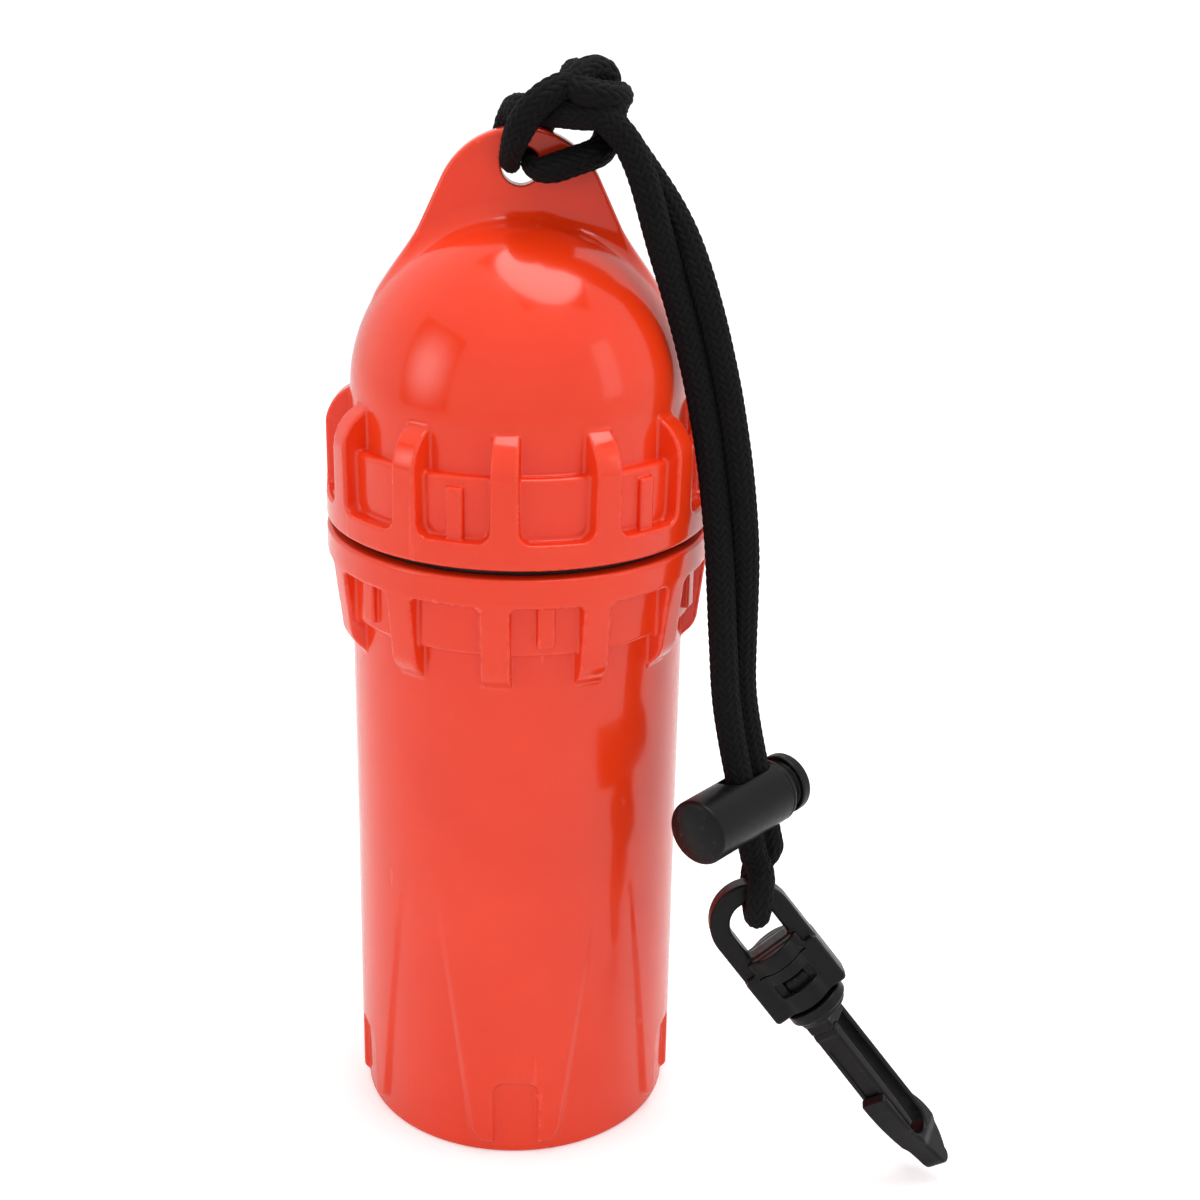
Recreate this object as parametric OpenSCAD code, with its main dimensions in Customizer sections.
// Screw-top dry capsule with a corded snap hook. Millimetres.
// Origin: centre of the canister's base. +Z up, +X to the lanyard's side, -Y to the front.

/* [Canister] */
// Outer radius of the canister wall
body_r = 31.7; // [31.4:0.1:31.9]
// Wall thickness of the canister
wall = 2.2; // [1.8:0.1:2.6]
// Height of the canister's collar rim above the base
rim_z = 122.9; // [122.9:0.1:122.9]
// Radius over both collars
collar_r = 36.1; // [36.1:0.1:36.5]
// Ribs round each collar
ribs = 12; // [10:1:14]
// Width of a rib on the canister's collar
body_rib_w = 5.3; // [4.5:0.1:5.8]
// Raised petals round the lower half
petals = 5; // [4:1:6]
// Half width of an arch recess
arch_w = 4.3; // [3.8:0.1:4.5]

/* [Cap] */
// Clear height between the two collars
gap = 1.5; // [1.5:0.1:1.5]
// Width of a rib on the cap's collar
cap_rib_w = 4.8; // [4.2:0.1:5.4]
// Outer radius of the dome
dome_r = 31.2; // [30.8:0.1:31.6]
// Height of the dome's centre
dome_z = 148.2; // [147:0.1:149]
// Thickness of the lug on top of the dome
lug_t = 4; // [3.6:0.1:4.2]
// Radius of the hole through the lug
hole_r = 3.5; // [3.5:0.1:4]
// Height of the lug's hole
hole_z = 188.6; // [188.6:0.1:188.6]

/* [Thread] */
// Rise of the cap in one turn
pitch = 5; // [5:0.5:5]
// Outer radius of the neck under the thread
neck_r = 27.6; // [27:0.1:27.6]
// Height of the thread's profile
thread_h = 1.5; // [1:0.1:1.5]

/* [Seal ring] */
// Section radius of the seal ring
ring_s = 1.5; // [1.3:0.1:1.5]
// Radius of the ring's centre line
ring_r = 33; // [32.6:0.1:33.2]

/* [Cord] */
// Section radius of the cord
cord_r = 2.4; // [2:0.1:2.4]
// Distance between the two strands' centre lines
cord_gap = 4.9; // [4.9:0.1:5]

/* [Cord lock] */
// Outer radius of the lock's barrel
lock_r = 6.2; // [6.1:0.1:6.4]
// Radius of the plunger's shaft
plunger_r = 4.82; // [4.6:0.01:4.82]
// Travel of the plunger
press = 2.4; // [2:0.1:2.4]

/* [Snap hook] */
// Outer half width of the swivel eye
eye_w = 8.15; // [8:0.05:8.5]
// Half width of the eye's opening
eye_in = 4.3; // [4.3:0.1:4.5]
// Thickness of the eye's bail
bail_t = 4.6; // [4:0.1:4.6]
// Width of the hook's bars
bar_w = 5.6; // [5:0.1:6]
// Radius of the swivel post
post_r = 2.5; // [2.2:0.1:2.5]

/* [Hidden] */
$fn = 96;
small_fn = 48;
red = [0.93, 0.2, 0.12];
black = [0.09, 0.09, 0.1];
cap_z = rim_z + gap;

// ---- Points and curves ----
function xyz(point) = [point[0], point[1], point[2]];
function unit(vector) = vector / norm(vector);
function last(list) = list[len(list) - 1];
function backwards(list) = [for (i = [len(list) - 1:-1:0]) list[i]];
// The right half of an outline, followed by its mirror image.
function mirrored(half) = concat(half, [for (p = backwards(half)) [-p[0], p[1]]]);
// Chains lists of points in which each part starts where the one before ends.
function joined(parts) = [
    for (i = [0:len(parts) - 1])
    for (j = [0:len(parts[i]) - (i < len(parts) - 1 ? 2 : 1)]) parts[i][j]];
// Eases from 0 at start to 1 at end.
function smooth(start, end, x) =
    let (part = min(1, max(0, (x - start) / (end - start)))) part * part * (3 - 2 * part);
function arc(x, y, radius, start, end, steps = 8) = [
    for (i = [0:steps]) let (angle = start + (end - start) * i / steps)
    [x + radius * cos(angle), y + radius * sin(angle)]];
function bezier(ctrl, t) =
    pow(1 - t, 3) * ctrl[0] + 3 * pow(1 - t, 2) * t * ctrl[1]
    + 3 * (1 - t) * t * t * ctrl[2] + t * t * t * ctrl[3];
function curve(ctrl, steps) = [for (i = [0:steps]) bezier(ctrl, i / steps)];
// A curve of tube points; the radius has eased to end_r at ease_end of the way.
function lead(ctrl, steps, start_r = cord_r, end_r = cord_r, ease_end = 0.5) = [
    for (i = [0:steps])
    [each bezier(ctrl, i / steps), start_r + (end_r - start_r) * smooth(0, ease_end, i / steps)]];
// Catmull-Rom spline through the points, carried on straight beyond both ends.
function catmull(before, start, end, after, t) = 0.5 * ((2 * start) + (end - before) * t
    + (2 * before - 5 * start + 4 * end - after) * t * t
    + (3 * start - before - 3 * end + after) * t * t * t);
function point_at(points, i) =
    i < 0 ? 2 * points[0] - points[1]
    : i >= len(points) ? 2 * last(points) - points[len(points) - 2]
    : points[i];
function spline(points, steps) = concat(
    [for (i = [0:len(points) - 2]) for (j = [0:steps - 1])
        catmull(point_at(points, i - 1), points[i], points[i + 1], point_at(points, i + 2),
            j / steps)],
    [last(points)]);

// ---- Tube and thread ----
function heading(points, i) =
    unit(points[min(i + 1, len(points) - 1)] - points[max(i - 1, 0)]);
function across(vector, along) = unit(vector - along * (vector * along));
// One normal for each point, carried along so that the tube does not twist.
function normals(points, start) = [
    for (i = 0, normal = across(start, heading(points, 0));
        i < len(points);
        i = i + 1,
        normal = i < len(points) ? across(normal, heading(points, i)) : normal)
    normal];

// A round tube. Each point is [x, y, z, radius]; start is roughly the first normal.
module tube(points, sides = 14, start = [0, 1, 0.1]) {
    centres = [for (p = points) xyz(p)];
    normal = normals(centres, start);
    count = len(centres);
    skin = [
        for (i = [0:count - 1]) let (binormal = cross(heading(centres, i), normal[i]))
        for (j = [0:sides - 1]) let (angle = 360 * j / sides)
        centres[i] + points[i][3] * (normal[i] * cos(angle) + binormal * sin(angle))];
    walls = [
        for (i = [0:count - 2]) for (j = [0:sides - 1])
        let (here = i * sides, next = here + sides, k = (j + 1) % sides)
        each [[here + j, here + k, next + j], [here + k, next + k, next + j]]];
    first_cap = [for (j = [0:sides - 1]) [count * sides, (j + 1) % sides, j]];
    last_cap = [
        for (j = [0:sides - 1]) let (ring = (count - 1) * sides)
        [count * sides + 1, ring + j, ring + (j + 1) % sides]];
    polyhedron(concat(skin, [centres[0], last(centres)]), concat(walls, first_cap, last_cap),
        convexity = 8);
}

thread_root = 1.05; // half height of the profile at its root
thread_crest = 0.5; // half height at its crest
thread_stub = 0.3; // depth of the profile at either end
fade_steps = 4;
turn_steps = 36;

// A thread from root_r, inside the wall, to crest_r. Its ends fade out.
module thread(root_r, crest_r, start_z, turns) {
    count = round(turns * turn_steps);
    way = sign(crest_r - root_r);
    points = [
        for (i = [0:count])
        let (angle = 360 * i / turn_steps,
            fade = min(1, min(i, count - i) / fade_steps),
            edge_r = root_r + way * thread_stub + (crest_r - root_r - way * thread_stub) * fade,
            z = start_z + pitch * i / turn_steps)
        for (p = [[root_r, -thread_root], [edge_r, -thread_crest],
            [edge_r, thread_crest], [root_r, thread_root]])
        [p[0] * cos(angle), p[0] * sin(angle), z + p[1]]];
    walls = [
        for (i = [0:count - 1]) for (j = [0:3])
        let (here = 4 * i, next = here + 4, k = (j + 1) % 4)
        each [[here + j, next + j, here + k], [here + k, next + j, next + k]]];
    end = 4 * count;
    faces = concat(walls,
        [[0, 1, 2], [0, 2, 3], [end, end + 2, end + 1], [end, end + 3, end + 2]]);
    polyhedron(points, way > 0 ? [for (f = faces) [f[0], f[2], f[1]]] : faces, convexity = 8);
}

// ---- Copies round the Z axis ----
module around(count, start = 0)
    for (i = [0:count - 1]) rotate([0, 0, start + 360 * i / count]) children();
module blocks(count, start, size, y, z)
    around(count, start) translate([-size[0] / 2, y, z]) cube(size);

far = 40; // beyond every outer surface of the capsule
core_r = 28; // inner radius of the rings that make up both collars
mark_w = 3.2;
mark_depth = 4;
marks = 6;

// ---- Canister ----
petal_foot = [5.6, 5.9]; // centre of the round at a petal's lower corner
petal_round = 3.2;
petal_top = 62;
arch_round = 2.3;
arch_z = 14.3; // where the arch's rounding starts
shoulder_z = 118;
flange_t = 5.5;
floor_z = 3.4;
notch_depth = 1.1;
// [radius, z]
collar_core = [[core_r, 107], [32.5, 107], [33.5, 108], [33.5, shoulder_z], [core_r, shoulder_z]];
rib_zone = [
    [core_r, 99.9], [body_r, 99.9], [34.1, 102.9], [34.6, 104], [36, 117.6], [core_r, 117.6]];

module petal2d() {
    for (side = [-1, 1])
        translate([side * petal_foot[0], petal_foot[1]]) circle(petal_round, $fn = small_fn);
    polygon(mirrored([
        [petal_foot[0], petal_foot[1] - petal_round], petal_foot,
        [8.776, 5.51], [15.71, petal_top]]));
}
module arch2d() {
    for (side = [-1, 1])
        translate([side * (arch_w - arch_round), arch_z]) circle(arch_round, $fn = small_fn);
    translate([-arch_w, -1]) square([2 * arch_w, arch_z + 1]);
    translate([arch_round - arch_w, 13])
        square([2 * (arch_w - arch_round), arch_z + arch_round - 13]);
}
module petal_ring() intersection() {
    rotate_extrude() polygon([
        [26, 2], [body_r + 0.2, 2], [body_r + 0.02, petal_top], [26, petal_top]]);
    difference() {
        around(petals) rotate([90, 0, 0]) linear_extrude(far) petal2d();
        around(petals) rotate([90, 0, 0]) linear_extrude(far) arch2d();
    }
}
module canister() color(red) difference() {
    union() {
        rotate_extrude() polygon(concat(
            [[0, 0]],
            arc(body_r - 1.9, 1, 1, -90, 0),
            [[body_r, 61], [body_r, shoulder_z], [0, shoulder_z]]));
        petal_ring();
        // collar: rim, inner wall of the pockets, ribs, marks
        rotate_extrude() polygon(concat(
            [[core_r, rim_z - flange_t]],
            arc(collar_r - 0.5, rim_z - flange_t + 0.5, 0.5, -90, 0, 4),
            arc(collar_r - 1, rim_z - 1, 1, 0, 90, 6),
            [[core_r, rim_z]]));
        rotate_extrude() polygon(collar_core);
        intersection() {
            rotate_extrude() polygon(rib_zone);
            blocks(ribs, -6.7, [body_rib_w, 30, 20], -far, 98);
        }
        blocks(marks, 8.3, [mark_w, mark_depth, 8.6], -34.7, 109.4);
        // neck
        cylinder(h = 135, r = neck_r);
        thread(neck_r - 0.3, neck_r + thread_h, 125.6, 1.6);
    }
    // hollow: body, cone and neck, each overlapping the next
    translate([0, 0, floor_z]) cylinder(h = 104, r = body_r - wall);
    translate([0, 0, 107.39]) cylinder(h = 4, r1 = body_r - wall, r2 = neck_r - wall);
    translate([0, 0, 111.3]) cylinder(h = 30, r = neck_r - wall);
    // arch recesses run out through the base's edge
    blocks(petals, 0, [2 * arch_w, far + notch_depth - body_r, 4], -far, -1);
}

// ---- Cap ----
cap_flange_t = 4.8;
cap_bore_r = 29.5;
bore_top = 137.4;
inner_r = dome_r - 2.6;
groove_clear = 0.05;
// [radius, z]
cap_core = [[core_r, 128], [33.4, 128], [33.2, 139.3], [32.3, 140.3], [core_r, 140.3]];
cap_rib_zone = concat(
    [[core_r, 128.5], [36, 128.5], [35.8, 143]],
    arc(32.6, 143, 3.2, 0, 62, 6),
    [[31, 147.9], [core_r, 147.9]]);

module lug2d() {
    translate([0, 179.6]) circle(15.7);
    polygon(mirrored([[22.7, 168], [14.22, 186.2]]));
}
module cap_shell() color(red) union() {
    thread(29.8, 28, 128.1, 1.5);
    difference() {
        union() {
            translate([0, 0, dome_z]) sphere(dome_r);
            translate([0, 0, 126]) cylinder(h = dome_z - 126, r = dome_r);
            // collar: rim, inner wall of the pockets, ribs, marks
            rotate_extrude() polygon(concat(
                [[core_r, cap_z]],
                arc(collar_r - 1, cap_z + 1, 1, -90, 0, 6),
                arc(collar_r - 0.5, cap_z + cap_flange_t - 0.5, 0.5, 0, 90, 4),
                [[core_r, cap_z + cap_flange_t]]));
            rotate_extrude() polygon(cap_core);
            intersection() {
                rotate_extrude() polygon(cap_rib_zone);
                blocks(ribs, -4, [cap_rib_w, 30, 22], -far, 127);
            }
            blocks(marks, -19, [mark_w, mark_depth, 10.1], -34.6, 128.5);
            translate([0, lug_t / 2, 0]) rotate([90, 0, 0]) linear_extrude(lug_t) lug2d();
        }
        // hollow with the bore for the neck, ring groove, hole through the lug
        rotate_extrude() polygon(concat(
            [[0, 100], [cap_bore_r, 100], [cap_bore_r, bore_top], [28.6, bore_top]],
            arc(0, dome_z, inner_r, 0, 88, 24),
            [[0, dome_z + inner_r]]));
        difference() {
            translate([0, 0, cap_z - 1]) cylinder(h = 2.6, r = ring_r + ring_s + groove_clear);
            translate([0, 0, cap_z - 2]) cylinder(h = 5, r = ring_r - ring_s - groove_clear);
        }
        translate([0, 10, hole_z]) rotate([90, 0, 0]) cylinder(h = 20, r = hole_r, $fn = 64);
    }
}
module seal_ring() color(black)
    translate([0, 0, rim_z + ring_s + 0.03])
    rotate_extrude() translate([ring_r, 0]) circle(ring_s, $fn = small_fn);

// ---- Knot and hitch ----
knot_at = [12.25, -4.3, 204.0];
knot_half = 2; // half length between the centres of the knot's rounded ends
knot_round = 4.1;
knot_clear = 0.04;
tail_r = 2.3;
web_z = 193.4; // middle of the web between the lug's hole and its rim
turn_y = 5.3; // reach of a turn before and behind the web
turn_up = 5;
turn_down = 4.8;
turn_clear = 0.12; // from a turn to the middle, beyond the cord's radius

// The knot: one barrel of cord turns, round about its own axis.
module knot_body(grow = 0) translate(knot_at) rotate([0, 3, 8.7]) rotate([0, 90, 0])
    rotate_extrude() polygon(concat(
        [[0, -knot_half - knot_round - grow]],
        arc(0.15, -knot_half, knot_round + grow, -88, -12),
        arc(0.15, knot_half, knot_round + grow, 12, 88),
        [[0, knot_half + knot_round + grow]]));
module cord_to_knot(points) difference() {
    tube(spline(points, 4), 12);
    knot_body(knot_clear);
}

// A point of a turn round the web: angle 0 on top, 90 behind, 180 in the hole, 270 in front.
// The cord squeezes where it shares the hole, and lies against the other turn.
// It starts at top_x and eases to its own side of the middle.
function squeezed(y) = cord_r - 0.84 * (1 - smooth(2.4, 5.2, abs(y)));
function hoop(side, top_x, angle) =
    let (y = turn_y * sin(angle),
        above = cos(angle) > 0,
        radius = above ? cord_r : squeezed(y),
        ease = smooth(0, 100, angle))
    [top_x * (1 - ease) + side * (radius + turn_clear) * ease, y,
        web_z + (above ? turn_up : turn_down) * cos(angle), radius];

// The front turn: from the standing part over the lug, down behind it, through the hole
// and up the front to the knot.
turn_front = [for (angle = [20:20:220]) hoop(-1, -0.6, angle)];
hitch_front = joined([
    lead([[14.2, -9.35, 198.2], [9, -9, 198.2], [0.4, -4, 199], xyz(turn_front[0])], 5),
    turn_front,
    lead([xyz(last(turn_front)), [-1.6, -8, 192], [0, -11, 201.5], [8.4, -6.8, 203.2]], 6,
        start_r = last(turn_front)[3])]);
// The rear turn: the same way round, then under the standing part and up behind it.
turn_rear = [for (angle = [each [20:20:200], 205]) hoop(1, 6.6, angle)];
under = [12.5, -4.4, 191];
hitch_rear = joined([
    lead([[14.2, -4.3, 197.5], [11, -3.6, 197.7], [7.6, -1.5, 198.4], xyz(turn_rear[0])], 4),
    turn_rear,
    lead([xyz(last(turn_rear)), [2.4, -7.5, 187], [8.6, -5.6, 190], under], 4,
        start_r = last(turn_rear)[3]),
    lead([under, [15.5, -1.5, 191], [17.5, 7, 197], [13.2, -1, 201.5]], 5)]);
tail_front = lead([[16.2, -2, 204.9], [21, 2, 204], [20.5, 8, 197], [16, 7, 191.5]], 5,
    tail_r, tail_r);
tail_rear = lead([[9.4, -2.6, 204.6], [8.6, 1.5, 205], [9, 5.5, 203], [9.2, 7, 199.5]], 4,
    tail_r, tail_r);

module cord_hitch() color(black) union() {
    cord_to_knot(hitch_front);
    cord_to_knot(hitch_rear);
}
module cord_knot() color(black) knot_body();
module cord_tail_front() color(black) cord_to_knot(tail_front);
module cord_tail_rear() color(black) cord_to_knot(tail_rear);

// ---- Frames of the lanyard ----
// Places in the hanging plane are [across, up].
plane_slope = 0.16;
lock_at = [44, -115.8];
lock_tilt = 12;

module hanging_plane() translate([0, -8, 190]) rotate([-atan(plane_slope), 0, 0]) children();
module lock_axes() hanging_plane()
    translate([lock_at[0], 0, lock_at[1]]) rotate([0, -lock_tilt, 0]) rotate([0, 0, 45])
    children();
module hook_axes() hanging_plane()
    translate([56.57, 0, -154.7]) rotate([0, -38, 0]) children();
module claw_axes() hook_axes() rotate([0, 0, 60]) children();

// ---- Strands and bight ----
strand_top = [16.6, 6.2];
leave_angle = 50; // below level, where the strands leave the knot
plumb = [39.4, -84]; // where the strands hang plumb
lock_entry = -4.6; // distances along the lock's axis, downwards from its centre
round_steps = [2.36, 2.0, 1.2]; // distances of the rounded upper end's sections from its centre
bail = [45.3, -133.2];
loop_r = 5.2;
bail_squeeze = 0.25; // loss of the cord's radius at the bail

// Both strands follow one line: it bends until it hangs plumb, then leans outward and
// runs straight through the lock to the bight.
function through_lock(distance) = lock_at + distance * [sin(lock_tilt), -cos(lock_tilt)];
route = joined([
    curve([strand_top, strand_top + 14 * [cos(leave_angle), -sin(leave_angle)],
        plumb + [0, 44], plumb], 8),
    curve([plumb, plumb - [0, 12], through_lock(-14.6), through_lock(lock_entry)], 3),
    [for (distance = [lock_entry, 2.9, 10.3]) through_lock(distance)]]);
line = spline(route, 5);

// The pair turns about the line on the way down.
function pair_angle(up) =
    up > -20 ? 90 * (1 - smooth(-strand_top[1], 22, -up)) : 45 * smooth(55, 97, -up);
function strand_point(side, place, along, up, radius) =
    let (offset = side * cord_gap / 2,
        square_on = [-along[1], along[0]],
        in_plane = offset * cos(pair_angle(up)))
    [place[0] + in_plane * square_on[0], offset * sin(pair_angle(up)),
        place[1] + in_plane * square_on[1], radius];
function strand(side) = let (along = unit(line[1] - line[0])) concat(
    [for (step = round_steps)
        strand_point(side, line[0] - step * along, along, strand_top[1],
            sqrt(cord_r * cord_r - step * step))],
    [for (i = [0:len(line) - 1])
        strand_point(side, line[i], heading(line, i), line[i][1], cord_r)]);
module cord_strand_front() color(black) hanging_plane() tube(strand(-1), start = [0, 1, 0]);
module cord_strand_rear() color(black) hanging_plane() tube(strand(1), start = [0, 1, 0]);

// One leg: straight out of the strand's end, then a swing out to the side of the bail.
function leg(side) =
    let (points = strand(side),
        end = xyz(last(points)),
        along = unit(end - xyz(points[len(points) - 2])),
        bend = end + 0.52 * along,
        foot = [bail[0], side * loop_r, bail[1]])
    concat(
        [[each (end + 0.12 * along), cord_r]],
        lead([bend, bend + 2.8 * along, foot + [0, 0, 2.6], foot], 8,
            end_r = cord_r - bail_squeeze, ease_end = 1));
// The bight joins the strands under the eye's bail.
bight = concat(
    leg(-1),
    [for (angle = [162:-18:18])
        [bail[0], loop_r * cos(angle), bail[1] - loop_r * sin(angle),
            cord_r - bail_squeeze - 0.05 * sin(angle)]],
    backwards(leg(1)));
module cord_bight() color(black) hanging_plane() tube(bight, start = [1, 0, 0]);

// ---- Cord lock ----
// The barrel lies along the lock's X axis, with its open end at +X.
slot_r = 2.62;
slot_end = 5.1;
slot_h = 30;
barrel_end = 6;
end_centre = -1.8; // centre of the barrel's domed end
end_r = 16;
button_r = 5.8;
button_t = 1.9;
spring_x = -12.3;
spring_length = 4.95;
spring_turns = 3.5;
spring_steps = 60;
coil_r = 3.6;
wire_r = 0.26;

module slot(start_x, end_x) {
    for (x = [start_x + slot_r, end_x - slot_r])
        translate([x, 0, 0]) cylinder(h = slot_h, r = slot_r, center = true, $fn = small_fn);
    translate([start_x + slot_r, -slot_r, -slot_h / 2])
        cube([end_x - start_x - 2 * slot_r, 2 * slot_r, slot_h]);
}
module lock_barrel() color(black) lock_axes() difference() {
    rotate([0, 90, 0]) rotate_extrude() polygon(concat(
        [[0, end_centre - end_r]],
        arc(0, end_centre, end_r, -88, -70, 6),
        arc(lock_r - 0.7, -16.1, 0.7, -60, 0, 4),
        arc(lock_r - 0.6, barrel_end - 0.6, 0.6, 0, 90, 4),
        [[0, barrel_end]]));
    translate([-12.6, 0, 0]) rotate([0, 90, 0]) cylinder(h = 30, r = plunger_r + 0.08);
    slot(-7.2, slot_end);
}
module lock_plunger() color(black) lock_axes() difference() {
    union() {
        translate([-7, 0, 0]) rotate([0, 90, 0]) cylinder(h = 16.6, r = plunger_r);
        translate([barrel_end + 0.2 + press, 0, 0]) rotate([0, 90, 0]) {
            cylinder(h = button_t, r = button_r);
            translate([0, 0, button_t]) cylinder(h = 0.8, r1 = button_r, r2 = 5);
        }
    }
    slot(-slot_end, slot_end + press);
}
module lock_spring() color("silver") lock_axes() tube([
    for (i = [0:spring_steps]) let (angle = 360 * spring_turns * i / spring_steps)
    [spring_x + spring_length * i / spring_steps, coil_r * cos(angle), coil_r * sin(angle),
        wire_r]], 8, [1, 0, 0]);

// ---- Swivel eye ----
eye_z = 19.1; // centre of the eye's round
opening_z = 13.5; // foot of the opening
ease = 0.8; // size of the eased edges
over = 0.01; // overshoot of the easing cuts
out = 0.5; // reach of the easing cuts beyond the bail
ease_z = 13.6;
ease_h = 5.5; // height of the straight eased edges
// Section of the cut along the bail's back: [across, depth from the face]
back_cut = [[eye_w - ease - over, -over], [eye_w + out, -over], [eye_w + out, ease + out]];

module eye_easing() {
    face_y = -bail_t / 2;
    // the opening
    translate([0, face_y - over, eye_z]) rotate([-90, 0, 0])
        cylinder(h = ease, r1 = eye_in + ease + over, r2 = eye_in + over);
    translate([0, 0, ease_z]) linear_extrude(ease_h) polygon(mirrored([
        [eye_in + ease + over, face_y - over], [eye_in + over, face_y + ease - over]]));
    // the bail's back
    intersection() {
        translate([0, face_y, eye_z]) rotate([-90, 0, 0]) rotate_extrude() polygon(back_cut);
        translate([-12, -5, eye_z]) cube([24, 10, 12]);
    }
    for (flip = [0, 1]) mirror([flip, 0, 0]) translate([0, 0, ease_z])
        linear_extrude(ease_h) polygon([for (p = back_cut) [p[0], face_y + p[1]]]);
}
module swivel_eye() color(black) hook_axes() difference() {
    union() {
        rotate([90, 0, 0]) linear_extrude(bail_t, center = true) difference() {
            union() {
                translate([0, eye_z]) circle(eye_w);
                translate([-eye_w, 1]) square([2 * eye_w, eye_z - 1]);
                translate([1 - eye_w, 0]) square([2 * eye_w - 2, 2]);
            }
            translate([0, eye_z]) circle(eye_in);
            translate([-eye_in, opening_z]) square([2 * eye_in, eye_z - opening_z]);
        }
        rotate([90, 0, 0]) linear_extrude(7.4, center = true) polygon(mirrored([
            [eye_w - 1, 0], [eye_w, 1], [eye_w, 11], [eye_in + 1.2, opening_z]]));
        cylinder(h = opening_z, r = 5.6);
    }
    // post's bore, chamber for its head, window through the chamber
    translate([0, 0, -1]) cylinder(h = 6, r = post_r + 0.07);
    translate([0, 0, 3.3]) cylinder(h = 4.9, r = 4);
    translate([-4, -10, 4.2]) cube([8, 20, 3.2]);
    for (flip = [0, 1]) mirror([0, flip, 0]) eye_easing();
}

// ---- Hook ----
spine_in = 1.2; // inner face of the spine
nose_in = 4.75; // inner face of the nose, on the other side of the axis
throat_z = -31.6;
hinge = [-3.4, -6.6];
head_r = 3.9;

// One outline: the shoulder, down the back of the spine, round the leaf tip,
// up the nose to the catch, and round the throat.
module claw2d() difference() {
    polygon(concat(
        [[-4.6, -6.2], [-4.6, -2], [spine_in + 1.3, -2]],
        curve([[spine_in + 1.3, -29], [4, -34], [1.5, -38.5], [-0.2, -41.5]], 6),
        arc(-1.6, -42, 1.4, 0, -150, 6),
        curve([[-3.1, -41.6], [-3.8, -37], [-6.4, -31], [-6.3, -23]], 6),
        [[-nose_in, -22.3]],
        arc((spine_in - nose_in) / 2, throat_z, (spine_in + nose_in) / 2, 180, 360, 12),
        [[spine_in, -6.2]]));
    translate(hinge) circle(1.3, $fn = small_fn);
    translate([-5.6, -9]) square([2.2, 2.4]);
}
module hook_body() color(black) {
    claw_axes() rotate([90, 0, 0]) linear_extrude(bar_w, center = true) claw2d();
    // flange, post and the post's head
    hook_axes() translate([0, 0, -2.6]) cylinder(h = 2.4, r = 6.1);
    hook_axes() translate([0, 0, -1]) cylinder(h = 5.4, r = post_r);
    hook_axes() translate([0, 0, 3.5]) {
        cylinder(h = 2.6, r = head_r);
        translate([0, 0, 2.6]) cylinder(h = 1.4, r1 = head_r, r2 = 2.6);
    }
}
module hook_gate() color(black) claw_axes() rotate([90, 0, 0]) union() {
    gate_w = bar_w - 0.2;
    translate([hinge[0], hinge[1], 0]) cylinder(h = gate_w, r = 1.2, center = true);
    linear_extrude(gate_w, center = true) polygon([
        [-4.55, -7], [-2.3, -7], [-2.6, -26], [-3.0, -31.4], [-4.5, -31.4], [-4.65, -23]]);
}

canister();
cap_shell();
seal_ring();
cord_hitch();
cord_knot();
cord_tail_front();
cord_tail_rear();
cord_strand_front();
cord_strand_rear();
cord_bight();
lock_barrel();
lock_plunger();
lock_spring();
swivel_eye();
hook_body();
hook_gate();
